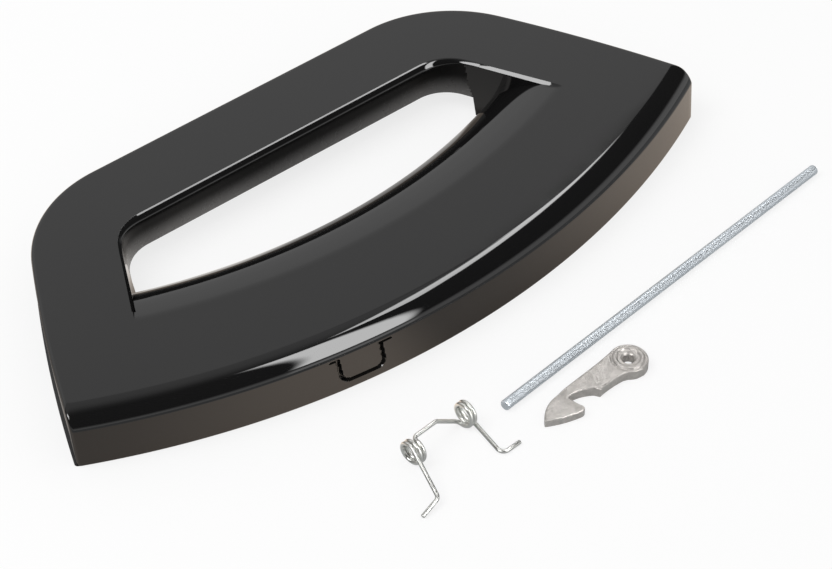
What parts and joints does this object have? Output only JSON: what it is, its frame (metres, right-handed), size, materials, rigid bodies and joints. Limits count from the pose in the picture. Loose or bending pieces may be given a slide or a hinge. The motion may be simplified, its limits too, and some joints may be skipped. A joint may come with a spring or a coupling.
{
  "type": "washing machine door handle",
  "caption": "Curved door handle of a front-loading washing machine with a finger hole, laid out with its pivot pin, catch hook and double torsion spring.",
  "frame": {"origin": "foot of the handle's front wall, midway through the wall, in the handle's mirror plane and on the plane all pieces lie on", "axes": "+X along the handle's width, +Y from the front arc to the straight back edge, +Z out of the handle's top face"},
  "size_m": [0.2322, 0.1499, 0.0167],
  "materials": {
    "shell": "smooth, glossy black",
    "pin": "bright drawn steel",
    "hook": "matt, fine-grained cast metal",
    "spring": "drawn spring wire"
  },
  "bodies": {
    "root": {"handle": "shell", "pivot_pin": "pin", "catch_hook": "hook", "catch_spring": "spring"}
  },
  "joints": []
}
